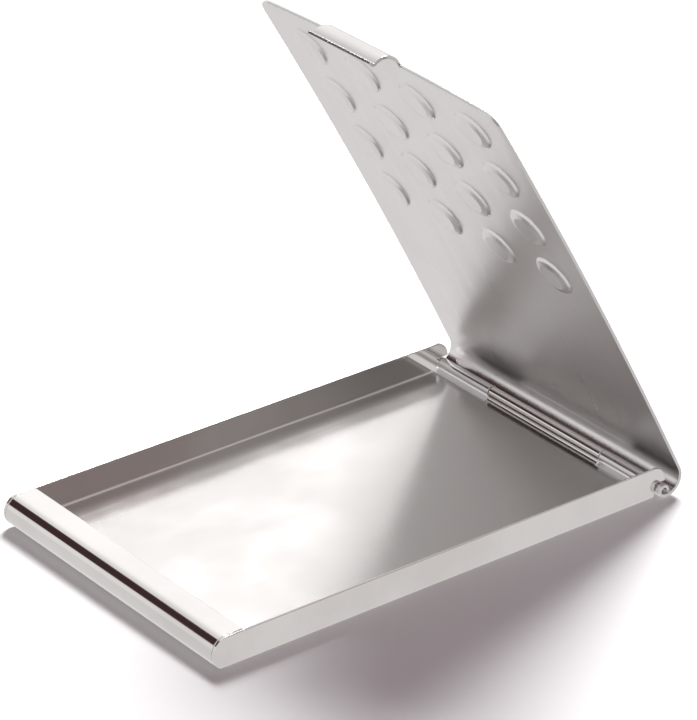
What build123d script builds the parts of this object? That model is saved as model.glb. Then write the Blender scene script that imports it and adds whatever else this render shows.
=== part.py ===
from build123d import *
from math import atan2, cos, degrees, radians, sin
import os

# A flip-top business card case folded from polished stainless sheet, in millimetres.
# +X runs along the hinge, +Y from the front lip to the hinge, +Z up from the underside.

SHEET = 0.5                 # thickness of both stampings
TRAY_WIDTH = 58.5           # over the two side walls
RIM_HEIGHT = 5.8            # underside to the rim of the side walls
FRONT_Y = -47.5             # foremost point of the side walls
BACK_Y = 46.6               # rearmost point of the side walls
FOLD_RADIUS = 0.9           # outside of the fold between floor and wall
RIM_ROUND = 0.2             # the rims are rounded off so that they don't cut
LIP_EDGE_Y = -41.4          # free edge of the lip that holds the cards down, level with the rims
ROLL_GAP = 0.1              # slit between the rolled front and each side wall

HINGE_Y = 45.4              # hinge axis, parallel to X
HINGE_Z = 1.65
PIN_RADIUS = 0.55
PIN_LENGTH = 54.0           # its ends stay hidden inside the lid's knuckles
PIN_CHAMFER = 0.12
TURNING_GAP = 0.05          # radial clearance of the lid's knuckles on the pin
TAB_WIDTH = 29.4            # the tray's knuckle, in the middle of the hinge
KNUCKLE_GAP = 0.2           # axial clearance between neighbouring knuckles

LID_WIDTH = 60.8
LID_OPEN = 61.0             # how far the lid stands open, in degrees from closed
LID_GAP = 0.05              # closed lid above the rim
LID_TIP = 89.5              # hinge axis to the middle of the lid's free edge
TIP_SAG = 1.3               # the free edge curves back by this much at its ends
LID_BOW = 0.85              # outward bow of the lid at mid length
TIP_CORNER = 3.6
BEND_CENTRE_Y = 43.9        # axis of the lid's rear bend when the lid is closed
BEND_RADIUS = 2.8           # inside of that bend

DIMPLE_RADIUS = 3.95        # where a dimple stands up from the lid's inner face
DIMPLE_DEPTH = 0.65         # pressed in from outside
DIMPLE_WALL = 0.4           # width of a dimple's steep wall, seen square on
DIMPLE_SHOULDER = 0.4       # height of the steep wall
DIMPLE_CROWN = 1.0          # width of the shallow slope from the wall up to the flat middle
DIMPLE_PITCH_X = 14.0
DIMPLE_PITCH_Y = 11.8
DIMPLE_ROWS = 4
DIMPLE_COLUMNS = 4
FIRST_ROW = 80.5            # hinge axis to the row nearest the free edge

CATCH_WIDTH = 16.0
CATCH_GAP = 0.05            # closed catch off the rolled front
CATCH_BROW = 2.9            # inside radius of the bend from the lid into the catch
CATCH_REACH = 0.4           # the flat wall of the catch runs this far below the roll's foremost line
CATCH_FLARE = 72.0          # degrees that the sheet turns out below the wall
THUMB_LIP = 0.5             # straight length of the thumb lip

os.makedirs("parts", exist_ok=True)


def curved_strip(centre, inner, outer, start, sweep):
    """A strip of sheet bent round a centre, in the sketch that is open."""
    with BuildLine() as strip:
        far = CenterArc(centre, outer, start, sweep)
        near = CenterArc(centre, inner, start, sweep)
        Line(far @ 0, near @ 0)
        Line(far @ 1, near @ 1)
    make_face(strip.edges())


def straight_strip(x_from, x_to, y_from, y_to):
    """A straight stretch of sheet, seen from its edge."""
    with Locations(((x_from + x_to) / 2, (y_from + y_to) / 2)):
        Rectangle(abs(x_to - x_from), abs(y_to - y_from))


def slanted_strip(corner, along, across, run):
    """A straight stretch of sheet from one corner of its edge, running that far along a direction."""
    end = corner + along * run
    with BuildLine() as strip:
        Polyline(corner, end, end + across * SHEET, corner + across * SHEET, close=True)
    make_face(strip.edges())


def heading(angle):
    """The unit vector at that many degrees from the x axis, in the sketch that is open."""
    return Vector(cos(radians(angle)), sin(radians(angle)))


# ---- tray: floor, side walls, rolled front with its lip, and the middle knuckle ----

inner_width = TRAY_WIDTH - 2 * SHEET
wall_nose = RIM_HEIGHT / 2
roll_radius = RIM_HEIGHT / 2
roll_y = FRONT_Y + wall_nose
wall_tail = BACK_Y - (BEND_CENTRE_Y - LID_GAP)
knuckle_outer = PIN_RADIUS + SHEET
foot_radius = 0.8
foot_y = HINGE_Y - knuckle_outer - foot_radius
foot_z = foot_radius + SHEET
lid_knuckle_inner = PIN_RADIUS + TURNING_GAP
lid_knuckle_outer = lid_knuckle_inner + SHEET
notch_gap = 0.15
notch_y = HINGE_Y - lid_knuckle_outer - notch_gap
notch_z = HINGE_Z + lid_knuckle_outer + notch_gap
notch_corner = 0.6
curl_opening = 70.0         # degrees left open at the end of the tray's curl

with BuildPart() as tray:
    with BuildSketch(Plane.XZ.offset(-BACK_Y)) as channel:
        RectangleRounded(TRAY_WIDTH, 2 * RIM_HEIGHT, FOLD_RADIUS, align=(Align.CENTER, Align.MIN))
        with Locations((0, RIM_HEIGHT)):
            Rectangle(TRAY_WIDTH, RIM_HEIGHT, align=(Align.CENTER, Align.MIN), mode=Mode.SUBTRACT)
        with Locations((0, SHEET)):
            RectangleRounded(inner_width, 2 * RIM_HEIGHT, FOLD_RADIUS - SHEET,
                             align=(Align.CENTER, Align.MIN), mode=Mode.SUBTRACT)
        fillet(channel.vertices().group_by(Axis.Y)[-1], RIM_ROUND)
    extrude(amount=BACK_Y - FRONT_Y)

    # the floor ends where the front roll begins, and ahead of the hinge
    with BuildSketch(Plane.XY):
        with Locations((0, (FRONT_Y + roll_y) / 2)):
            Rectangle(inner_width, roll_y - FRONT_Y)
        with Locations((0, (foot_y + BACK_Y) / 2)):
            Rectangle(inner_width, BACK_Y - foot_y)
    extrude(amount=RIM_HEIGHT, mode=Mode.SUBTRACT)

    # side outline: round nose, rounded tail, and a notch that the lid's curl passes through
    with BuildSketch(Plane.YZ) as side_outline:
        straight_strip(roll_y, BACK_Y, 0, RIM_HEIGHT)
        tail_corner = side_outline.vertices().sort_by(Axis.Y)[-2:].sort_by(Axis.X)[-1]
        fillet(tail_corner, wall_tail)
        with Locations((roll_y, wall_nose)):
            Circle(wall_nose)
        with Locations((notch_y, notch_z)):
            RectangleRounded(2 * RIM_HEIGHT, 2 * RIM_HEIGHT, notch_corner,
                             align=(Align.MIN, Align.MAX), mode=Mode.SUBTRACT)
    extrude(amount=TRAY_WIDTH / 2, both=True, mode=Mode.INTERSECT)

    # the floor rolls up at the front and back over the cards as a lip
    with BuildSketch(Plane.YZ):
        curved_strip((roll_y, roll_radius), roll_radius - SHEET, roll_radius, 90, 180)
        straight_strip(roll_y, LIP_EDGE_Y, 2 * roll_radius - SHEET, 2 * roll_radius)
    extrude(amount=inner_width / 2 - ROLL_GAP, both=True)

    # the middle of the floor bends up and curls round the pin
    with BuildSketch(Plane.YZ):
        curved_strip((foot_y, foot_z), foot_radius, foot_radius + SHEET, 270, 90)
        straight_strip(HINGE_Y - knuckle_outer, HINGE_Y - PIN_RADIUS, foot_z, HINGE_Z)
        curved_strip((HINGE_Y, HINGE_Z), PIN_RADIUS, knuckle_outer, 180, curl_opening - 360)
    extrude(amount=TAB_WIDTH / 2, both=True)

tray.part.label = "tray"
export_step(tray.part, "parts/tray.step")


# ---- lid: the panel, its rear bend and curled knuckles, and the catch at its tip ----

swing = radians(LID_OPEN)
to_tip = Vector(0, -cos(swing), sin(swing))
inward = Vector(0, -sin(swing), -cos(swing))
hinge_point = Vector(0, HINGE_Y, HINGE_Z)

# edge view of the lid: x from the hinge axis to the tip, y towards the lid's outer face
lid_edge = Plane(origin=hinge_point, x_dir=to_tip, z_dir=(-1, 0, 0))
# face view of the lid: x along the hinge, y towards the tip, z towards the cards
lid_face = Plane(origin=hinge_point, x_dir=(1, 0, 0), z_dir=inward)

panel_inner = RIM_HEIGHT + LID_GAP - HINGE_Z
panel_outer = panel_inner + SHEET
bend_x = HINGE_Y - BEND_CENTRE_Y
bend_y = panel_inner - BEND_RADIUS
bend_outer = BEND_RADIUS + SHEET

# below the bend the sheet runs on an arc that meets the knuckle's outside tangentially
bend_back = bend_outer - bend_x
wrap_outer = (bend_back**2 + bend_y**2 - lid_knuckle_outer**2) / (2 * (bend_back - lid_knuckle_outer))
wrap_x = wrap_outer - bend_back
wrap_end = 180 + degrees(atan2(bend_y, wrap_x))
curl_end = 485              # degrees round the pin where the lid's curl stops
wrap_cut = 0.65             # the sheet behind the tray's knuckle is cut off this far above the pin's axis

trim_allowance = 0.5        # the panel is this much longer before its free edge is trimmed to the curve
panel_end = LID_TIP + trim_allowance
middle = (bend_x + panel_end) / 2
half_run = (panel_end - bend_x) / 2


def panel_plane(run):
    """The plane on the panel's inner face that far from the hinge axis, with z towards the cards."""
    place = (run - middle) / half_run
    crown = LID_BOW * (1 - place**2)
    slope = -2 * LID_BOW * place / half_run
    origin = hinge_point + to_tip * run - inward * (panel_inner + crown)
    return Plane(origin=origin, x_dir=(1, 0, 0), z_dir=inward + to_tip * slope)


# the catch bends down over the rolled front and flares out as a thumb lip
front_x = HINGE_Y - FRONT_Y
front_y = roll_radius - HINGE_Z
wall_x = front_x + CATCH_GAP
brow = Vector(wall_x - CATCH_BROW, panel_inner - CATCH_BROW)
wall_foot = front_y - CATCH_REACH
flare_inner = 0.3
flare_outer = flare_inner + SHEET
flare = Vector(wall_x + flare_outer, wall_foot)
flare_end = 180 + CATCH_FLARE
tongue_overlap = 0.4        # the tongue starts this far inside the lid's free edge
tongue_root = LID_TIP - tongue_overlap

# pressing tools for one dimple, with the lid's inner face at z = 0 and the cards above it
tool_overlap = 0.2
recess_inset = 0.15
recess_radius = DIMPLE_RADIUS - recess_inset
wall_run = DIMPLE_WALL / DIMPLE_SHOULDER

with BuildPart() as bump_tool:
    with BuildSketch(Plane.XZ):
        with BuildLine():
            Polyline(
                (0, -tool_overlap),
                (DIMPLE_RADIUS + wall_run * tool_overlap, -tool_overlap),
                (DIMPLE_RADIUS - DIMPLE_WALL, DIMPLE_SHOULDER),
                (DIMPLE_RADIUS - DIMPLE_WALL - DIMPLE_CROWN, DIMPLE_DEPTH),
                (0, DIMPLE_DEPTH),
                close=True,
            )
        make_face()
    revolve(axis=Axis.Z)

with BuildPart() as recess_tool:
    with BuildSketch(Plane.XZ):
        with BuildLine():
            Polyline(
                (0, -SHEET - tool_overlap),
                (recess_radius + wall_run * tool_overlap, -SHEET - tool_overlap),
                (recess_radius - DIMPLE_WALL, DIMPLE_SHOULDER - SHEET),
                (recess_radius - DIMPLE_WALL - DIMPLE_CROWN, DIMPLE_DEPTH - SHEET),
                (0, DIMPLE_DEPTH - SHEET),
                close=True,
            )
        make_face()
    revolve(axis=Axis.Z)

with BuildPart() as lid:
    # bowed panel
    with BuildSketch(lid_edge):
        with BuildLine():
            inside = ThreePointArc((bend_x, panel_inner), (middle, panel_inner + LID_BOW),
                                   (panel_end, panel_inner))
            outside = ThreePointArc((bend_x, panel_outer), (middle, panel_outer + LID_BOW),
                                    (panel_end, panel_outer))
            Line(inside @ 0, outside @ 0)
            Line(inside @ 1, outside @ 1)
        make_face()
    extrude(amount=LID_WIDTH / 2, both=True)

    # curved free edge with rounded corners
    with BuildSketch(lid_face) as plan:
        with BuildLine():
            tip_arc = ThreePointArc((-LID_WIDTH / 2, LID_TIP - TIP_SAG), (0, LID_TIP),
                                    (LID_WIDTH / 2, LID_TIP - TIP_SAG))
            Polyline(tip_arc @ 1, (LID_WIDTH / 2, 0), (-LID_WIDTH / 2, 0), tip_arc @ 0)
        make_face()
        fillet(plan.vertices().sort_by(Axis.Y)[-2:], TIP_CORNER)
    extrude(amount=-2 * panel_outer, mode=Mode.INTERSECT)

    # dimples, pressed inwards
    rows = [panel_plane(FIRST_ROW - row * DIMPLE_PITCH_Y) for row in range(DIMPLE_ROWS)]
    for tool, tool_mode in ((bump_tool, Mode.ADD), (recess_tool, Mode.SUBTRACT)):
        with Locations(*rows):
            with GridLocations(DIMPLE_PITCH_X, DIMPLE_PITCH_Y, DIMPLE_COLUMNS, 1):
                add(tool.part, mode=tool_mode)

    # rear bend and the sheet below it that runs into the curl
    with BuildSketch(lid_edge):
        curved_strip((bend_x, bend_y), BEND_RADIUS, bend_outer, 90, 90)
    extrude(amount=LID_WIDTH / 2, both=True)

    # the two knuckles, either side of the tray's
    with BuildSketch(lid_edge):
        curved_strip((wrap_x, bend_y), wrap_outer - SHEET, wrap_outer, 180, wrap_end - 180)
        curved_strip((0, 0), lid_knuckle_inner, lid_knuckle_outer, wrap_end, curl_end - wrap_end)
    extrude(amount=LID_WIDTH / 2, both=True)
    with BuildSketch(lid_edge):
        Circle(lid_knuckle_outer + notch_gap)
        straight_strip(-2 * bend_back, 2 * knuckle_outer, -2 * knuckle_outer, wrap_cut)
    extrude(amount=TAB_WIDTH / 2 + KNUCKLE_GAP, both=True, mode=Mode.SUBTRACT)

    # catch, a tongue of the same sheet
    with BuildSketch(lid_edge):
        straight_strip(tongue_root, brow.X, panel_inner, panel_outer)
        curved_strip(brow, CATCH_BROW, CATCH_BROW + SHEET, 0, 90)
        straight_strip(wall_x, wall_x + SHEET, wall_foot, brow.Y)
        curved_strip(flare, flare_inner, flare_outer, 180, CATCH_FLARE)
        slanted_strip(flare + heading(flare_end) * flare_inner, heading(flare_end + 90),
                      heading(flare_end), THUMB_LIP)
    extrude(amount=CATCH_WIDTH / 2, both=True)

lid.part.label = "lid"
export_step(lid.part, "parts/lid.step")


# ---- hinge pin, crimped in the tray's knuckle ----

with BuildPart() as hinge_pin:
    with BuildSketch(Plane.YZ.offset(-PIN_LENGTH / 2)):
        with Locations((HINGE_Y, HINGE_Z)):
            Circle(PIN_RADIUS)
    extrude(amount=PIN_LENGTH)
    chamfer(hinge_pin.edges().filter_by(GeomType.CIRCLE), PIN_CHAMFER)

hinge_pin.part.label = "hinge_pin"
export_step(hinge_pin.part, "parts/hinge_pin.step")
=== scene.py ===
import bpy
import math
from mathutils import Matrix, Vector

# A flip-top steel card case on a pale table. Constants are in metres and degrees unless they say otherwise.
# +X runs along the hinge, +Y from the front lip to the hinge, +Z up from the underside.

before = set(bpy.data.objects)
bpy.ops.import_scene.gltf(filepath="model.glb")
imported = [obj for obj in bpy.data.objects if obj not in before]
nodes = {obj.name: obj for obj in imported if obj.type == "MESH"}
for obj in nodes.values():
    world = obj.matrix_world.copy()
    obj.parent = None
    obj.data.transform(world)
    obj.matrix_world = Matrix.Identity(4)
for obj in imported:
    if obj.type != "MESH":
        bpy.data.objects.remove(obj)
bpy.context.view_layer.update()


# ---- node helpers ----

def new_material(name):
    mat = bpy.data.materials.new(name)
    mat.use_nodes = True
    tree = mat.node_tree
    return mat, tree, tree.nodes["Principled BSDF"]


def object_coordinates(tree):
    return tree.nodes.new("ShaderNodeTexCoord").outputs["Object"]


def noise(tree, coordinates, **inputs):
    made = tree.nodes.new("ShaderNodeTexNoise")
    for key, value in inputs.items():
        made.inputs[key].default_value = value
    tree.links.new(coordinates, made.inputs["Vector"])
    return made.outputs["Fac"]


def math_node(tree, operation, *values):
    """Arithmetic on numbers and other nodes' outputs."""
    made = tree.nodes.new("ShaderNodeMath")
    made.operation = operation
    for socket, value in zip(made.inputs, values):
        if isinstance(value, (int, float)):
            socket.default_value = value
        else:
            tree.links.new(value, socket)
    return made.outputs[0]


def dot_product(tree, vector, fixed):
    made = tree.nodes.new("ShaderNodeVectorMath")
    made.operation = "DOT_PRODUCT"
    tree.links.new(vector, made.inputs[0])
    made.inputs[1].default_value = fixed
    return made.outputs["Value"]


def remap(tree, value, low, high, to_low, to_high, smooth=False):
    made = tree.nodes.new("ShaderNodeMapRange")
    if smooth:
        made.interpolation_type = "SMOOTHSTEP"
    tree.links.new(value, made.inputs["Value"])
    made.inputs["From Min"].default_value = low
    made.inputs["From Max"].default_value = high
    made.inputs["To Min"].default_value = to_low
    made.inputs["To Max"].default_value = to_high
    return made.outputs["Result"]


def colour_mix(tree, factor, a, b):
    """Goes from a to b as the factor goes from 0 to 1; each is a fixed colour or another node's output."""
    made = tree.nodes.new("ShaderNodeMix")
    made.data_type = "RGBA"
    tree.links.new(factor, made.inputs["Factor"])
    for key, colour in (("A", a), ("B", b)):
        if isinstance(colour, tuple):
            made.inputs[key].default_value = colour
        else:
            tree.links.new(colour, made.inputs[key])
    return made.outputs["Result"]


# ---- what the metals share ----

STREAK_NOISE = (0.3, 0.7)       # the noise values taken as the two ends of the streaks' range
WEAR_NOISE = (0.35, 0.75)       # the noise values between which fresh metal turns into worn metal
EDGE_ROUND = 0.0002


def streaks(tree, coordinates, scale, seed):
    """Noise drawn out along one axis, for brushed and drawn metal; scale is in cycles per metre."""
    mapping = tree.nodes.new("ShaderNodeMapping")
    mapping.inputs["Scale"].default_value = scale
    mapping.inputs["Location"].default_value = (seed, seed, seed)
    tree.links.new(coordinates, mapping.inputs["Vector"])
    return noise(tree, mapping.outputs["Vector"], Scale=1.0, Detail=3.0, Roughness=0.6)


def worn_patches(tree, coordinates, scale, detail):
    """0 where the surface is fresh, 1 where it is worn."""
    smudge = noise(tree, coordinates, Scale=scale, Detail=detail, Roughness=0.55)
    return remap(tree, smudge, *WEAR_NOISE, 0.0, 1.0, smooth=True)


def rounded_edges(tree, height, strength, distance, radius):
    """A bump over normals that are rounded at the cut edges of the sheet."""
    bevel = tree.nodes.new("ShaderNodeBevel")
    bevel.samples = 6
    bevel.inputs["Radius"].default_value = radius
    bump = tree.nodes.new("ShaderNodeBump")
    bump.inputs["Strength"].default_value = strength
    bump.inputs["Distance"].default_value = distance
    tree.links.new(height, bump.inputs["Height"])
    tree.links.new(bevel.outputs["Normal"], bump.inputs["Normal"])
    return bump.outputs["Normal"]


def connect_metal(tree, shader, tint, roughness, normal):
    shader.inputs["Metallic"].default_value = 1.0
    tree.links.new(tint, shader.inputs["Base Color"])
    tree.links.new(roughness, shader.inputs["Roughness"])
    tree.links.new(normal, shader.inputs["Normal"])


# ---- polished sheet: the tray ----

STEEL = (0.70, 0.675, 0.66, 1)
STEEL_WORN = (0.64, 0.61, 0.595, 1)
STEEL_ROUGHNESS = (0.045, 0.085)        # fresh and worn
STEEL_STREAKS = (0.0, 0.03)             # what the streaks add to the roughness

# the floor sheet is duller in finish and painted darker as shade in the tray's well, and gives way to the
# rest over these heights and half widths
WELL_FLOOR_PAINTED_SHADE = (0.46, 0.443, 0.435, 1)
FLOOR_SHEET_DULLING = 0.13
FLOOR_SHEET_HEIGHTS = (0.00045, 0.0009)
FLOOR_SHEET_HALF_WIDTHS = (0.0283, 0.0288)


def polished_sheet():
    mat, tree, shader = new_material("polished_sheet")
    coords = object_coordinates(tree)
    split = tree.nodes.new("ShaderNodeSeparateXYZ")
    tree.links.new(coords, split.inputs["Vector"])
    low = remap(tree, split.outputs["Z"], *FLOOR_SHEET_HEIGHTS, 1.0, 0.0)
    off_middle = math_node(tree, "ABSOLUTE", split.outputs["X"])
    between_walls = remap(tree, off_middle, *FLOOR_SHEET_HALF_WIDTHS, 1.0, 0.0)
    # mask of the well's floor: used for its duller finish and for its painted shade
    well_floor_dull_and_shaded = math_node(tree, "MULTIPLY", low, between_walls)

    fine = streaks(tree, coords, scale=(7000, 120, 7000), seed=3.0)
    wear = worn_patches(tree, coords, scale=55.0, detail=5.0)
    # the floor of the well is tinted darker: painted shade, not the steel's own colour
    tint = colour_mix(tree, well_floor_dull_and_shaded, colour_mix(tree, wear, STEEL, STEEL_WORN), WELL_FLOOR_PAINTED_SHADE)

    polish = remap(tree, wear, 0, 1, *STEEL_ROUGHNESS)
    streaked = math_node(tree, "ADD", polish, remap(tree, fine, *STREAK_NOISE, *STEEL_STREAKS))
    dulling = math_node(tree, "MULTIPLY", well_floor_dull_and_shaded, FLOOR_SHEET_DULLING)
    rough = math_node(tree, "ADD", streaked, dulling)

    normal = rounded_edges(tree, fine, strength=0.03, distance=0.00002, radius=EDGE_ROUND)
    connect_metal(tree, shader, tint, rough, normal)
    return mat


# ---- lid sheet: satin and brushed from hinge to tip inside, polished outside ----

LID_OPEN = 61.0                         # how far the lid stands open at rest
SATIN = (0.74, 0.722, 0.717, 1)
SATIN_WORN = (0.71, 0.69, 0.685, 1)
SATIN_ROUGHNESS = 0.31
FINE_BRUSHING = (-0.02, 0.02)           # what the brushing does to the satin's roughness
COARSE_BRUSHING = (-0.03, 0.03)
OUTSIDE = (0.60, 0.585, 0.575, 1)
OUTSIDE_WORN = (0.55, 0.53, 0.52, 1)
OUTSIDE_ROUGHNESS = (0.06, 0.10)        # fresh and worn
INNER_FACE = (0.05, 0.45)               # lean of the surface to the inside, from all polish to all satin

open_angle = math.radians(LID_OPEN)
ALONG_HINGE = Vector((1, 0, 0))
TO_TIP = Vector((0, -math.cos(open_angle), math.sin(open_angle)))
INWARD = Vector((0, -math.sin(open_angle), -math.cos(open_angle)))


def lid_sheet():
    mat, tree, shader = new_material("lid_sheet")
    texture = tree.nodes.new("ShaderNodeTexCoord")
    coords = texture.outputs["Object"]
    facing = dot_product(tree, texture.outputs["Normal"], INWARD)
    inside = remap(tree, facing, *INNER_FACE, 0.0, 1.0, smooth=True)

    along_sheet = tree.nodes.new("ShaderNodeCombineXYZ")
    for socket, direction in zip(along_sheet.inputs, (ALONG_HINGE, TO_TIP, INWARD)):
        tree.links.new(dot_product(tree, coords, direction), socket)
    sheet_coords = along_sheet.outputs["Vector"]
    brush = streaks(tree, sheet_coords, scale=(3600, 40, 3600), seed=7.0)
    brush_coarse = streaks(tree, sheet_coords, scale=(520, 6, 520), seed=1.0)
    wear = worn_patches(tree, coords, scale=40.0, detail=4.0)

    outside_tint = colour_mix(tree, wear, OUTSIDE, OUTSIDE_WORN)
    satin_tint = colour_mix(tree, wear, SATIN, SATIN_WORN)
    tint = colour_mix(tree, inside, outside_tint, satin_tint)

    satin = math_node(tree, "ADD", SATIN_ROUGHNESS, remap(tree, brush, *STREAK_NOISE, *FINE_BRUSHING))
    satin = math_node(tree, "ADD", satin, remap(tree, brush_coarse, *STREAK_NOISE, *COARSE_BRUSHING))
    gloss = remap(tree, wear, 0, 1, *OUTSIDE_ROUGHNESS)
    span = math_node(tree, "SUBTRACT", satin, gloss)
    rough = math_node(tree, "MULTIPLY_ADD", span, inside, gloss)

    height = math_node(tree, "MULTIPLY", brush, inside)
    normal = rounded_edges(tree, height, strength=0.12, distance=0.00002, radius=EDGE_ROUND)
    connect_metal(tree, shader, tint, rough, normal)
    return mat


# ---- drawn wire: the pin, with its drawing marks along it ----

WIRE = (0.60, 0.58, 0.57, 1)
WIRE_MARK = (0.52, 0.50, 0.49, 1)
WIRE_ROUGHNESS = (0.2, 0.34)
WIRE_EDGE_ROUND = 0.00008


def drawn_wire():
    mat, tree, shader = new_material("drawn_wire")
    drawn = streaks(tree, object_coordinates(tree), scale=(60, 9000, 9000), seed=5.0)
    tint = colour_mix(tree, drawn, WIRE, WIRE_MARK)
    rough = remap(tree, drawn, *STREAK_NOISE, *WIRE_ROUGHNESS)
    normal = rounded_edges(tree, drawn, strength=0.15, distance=0.00003, radius=WIRE_EDGE_ROUND)
    connect_metal(tree, shader, tint, rough, normal)
    return mat


for name, mat in (("tray", polished_sheet()), ("lid", lid_sheet()), ("hinge_pin", drawn_wire())):
    for slot in nodes[name].material_slots:
        slot.material = mat


# ---- table ----

TABLE_REACH = 6.0
TABLE_CORNERS = 64
TABLE_GAP = 0.00002                     # below the tray, so that the two faces don't coincide
TABLE = (0.93, 0.93, 0.93, 1)
TABLE_GRAIN = (0.95, 0.95, 0.95, 1)
TABLE_MIRRORED = (0.88, 0.87, 0.87, 1)


def pale_floor():
    mat, tree, shader = new_material("pale_floor")
    grain = noise(tree, object_coordinates(tree), Scale=30.0, Detail=3.0)
    tree.links.new(colour_mix(tree, grain, TABLE, TABLE_GRAIN), shader.inputs["Base Color"])
    shader.inputs["Roughness"].default_value = 0.9
    shader.inputs["Specular IOR Level"].default_value = 0.1

    # a lighting aid: what the steel mirrors is an even table, without the shadow on it
    rays = tree.nodes.new("ShaderNodeLightPath")
    even = tree.nodes.new("ShaderNodeEmission")
    even.inputs["Color"].default_value = TABLE_MIRRORED
    either = tree.nodes.new("ShaderNodeMixShader")
    tree.links.new(rays.outputs["Is Glossy Ray"], either.inputs[0])
    tree.links.new(shader.outputs[0], either.inputs[1])
    tree.links.new(even.outputs[0], either.inputs[2])
    tree.links.new(either.outputs[0], tree.nodes["Material Output"].inputs["Surface"])
    return mat


def studio_floor():
    mesh = bpy.data.meshes.new("studio_floor")
    turns = [2 * math.pi * corner / TABLE_CORNERS for corner in range(TABLE_CORNERS)]
    rim = [(TABLE_REACH * math.cos(turn), TABLE_REACH * math.sin(turn), 0) for turn in turns]
    mesh.from_pydata(rim, [], [tuple(range(TABLE_CORNERS))])
    mesh.materials.append(pale_floor())
    table = bpy.data.objects.new("studio_floor", mesh)
    bpy.context.scene.collection.objects.link(table)
    table.location.z = -TABLE_GAP
    return table


floor = studio_floor()


# ---- light: a soft key behind the lid, in a white tent with a glow, a dull side and a dark gap ----

KEY_AZIMUTH, KEY_ELEVATION = 222, 50
KEY_DISTANCE = 1.5
KEY_WIDTH, KEY_HEIGHT = 0.6, 0.5
KEY_RADIANCE = 27.0
ENERGY_FACTOR = 4                       # an area light's energy over its radiance times its area
KEY_TARGET = Vector((0, 0, 0.02))

# each patch is a direction, half its angle, and the width of its soft border
GLOW = ((-0.704, 0.544, 0.457), 8, 30)
GLOW_LEVEL = 1.4                        # against 1 for the rest of the tent
DULL_SIDE = ((0.75, 0.50, 0.42), 26, 16)
DULL_COLOUR = (0.56, 0.49, 0.49, 1)
DARK_GAP = ((-0.73, -0.42, 0.54), 14, 4)
DARK_COLOUR = (0.06, 0.033, 0.033, 1)
MATT_FILL = (0.24, 0.195, 0.21, 1)
BACKDROP = (0.98, 0.98, 0.98, 1)


def direction_from(azimuth, elevation):
    """The way from the object to where a light or the camera stands; azimuth 0 is at -Y, 90 at +X."""
    a, e = math.radians(azimuth), math.radians(elevation)
    return Vector((math.sin(a) * math.cos(e), -math.cos(a) * math.cos(e), math.sin(e)))


def key_light():
    away = direction_from(KEY_AZIMUTH, KEY_ELEVATION)
    data = bpy.data.lights.new("key_light", "AREA")
    data.shape = "RECTANGLE"
    data.size = KEY_WIDTH
    data.size_y = KEY_HEIGHT
    data.energy = ENERGY_FACTOR * KEY_WIDTH * KEY_HEIGHT * KEY_RADIANCE
    lamp = bpy.data.objects.new("key_light", data)
    bpy.context.scene.collection.objects.link(lamp)
    lamp.location = KEY_TARGET + away * KEY_DISTANCE
    lamp.rotation_mode = "QUATERNION"
    lamp.rotation_quaternion = away.to_track_quat("Z", "Y")
    lamp.visible_camera = False


def patch(tree, direction, centre, half_angle, soft, outside, within):
    """A round patch of the tent: one value within it and another outside."""
    nearness = dot_product(tree, direction, Vector(centre).normalized())
    border = math.cos(math.radians(half_angle + soft))
    core = math.cos(math.radians(half_angle))
    return remap(tree, nearness, border, core, outside, within, smooth=True)


def light_tent():
    world = bpy.data.worlds.new("light_tent")
    bpy.context.scene.world = world
    world.use_nodes = True
    tree = world.node_tree
    background = tree.nodes["Background"]
    direction = tree.nodes.new("ShaderNodeTexCoord").outputs["Generated"]
    tent = patch(tree, direction, *GLOW, 1.0, GLOW_LEVEL)
    for spot, colour in ((DULL_SIDE, DULL_COLOUR), (DARK_GAP, DARK_COLOUR)):
        tent = colour_mix(tree, patch(tree, direction, *spot, 1.0, 0.0), colour, tent)

    # lighting aids: matt surfaces get a dimmer fill, and the camera sees an even backdrop
    rays = tree.nodes.new("ShaderNodeLightPath")
    tent = colour_mix(tree, rays.outputs["Is Diffuse Ray"], tent, MATT_FILL)
    tent = colour_mix(tree, rays.outputs["Is Camera Ray"], tent, BACKDROP)
    tree.links.new(tent, background.inputs["Color"])
    background.inputs["Strength"].default_value = 1.0


key_light()
light_tent()
bpy.context.scene.view_settings.view_transform = "Standard"


# ---- camera ----

AZIMUTH, ELEVATION, ROLL = 52.089, 27.316, 0.080
DISTANCE = 0.72836
AIM_RIGHT, AIM_UP = 0.00156327, 0.02517104      # from the origin to the aim, as the camera sees it
SENSOR_MM, LENS_MM = 36.0, 218.0505
SHIFT_X, SHIFT_Y = 0.000208333, 0.0000833333    # of the lens, in sensor widths
CLIP_START, CLIP_END = 0.05, 50.0

roll = math.radians(ROLL)
back = direction_from(AZIMUTH, ELEVATION)
level_right = Vector((0, 0, 1)).cross(back).normalized()
level_up = back.cross(level_right)
right = math.cos(roll) * level_right + math.sin(roll) * level_up
up = -math.sin(roll) * level_right + math.cos(roll) * level_up

camera_data = bpy.data.cameras.new("camera")
camera_data.sensor_width = SENSOR_MM
camera_data.lens = LENS_MM
camera_data.shift_x = SHIFT_X
camera_data.shift_y = SHIFT_Y
camera_data.clip_start = CLIP_START
camera_data.clip_end = CLIP_END
camera = bpy.data.objects.new("camera", camera_data)
bpy.context.scene.collection.objects.link(camera)
stand = back * DISTANCE + right * AIM_RIGHT + up * AIM_UP
camera.matrix_world = Matrix.Translation(stand) @ Matrix((right, up, back)).transposed().to_4x4()
bpy.context.scene.camera = camera
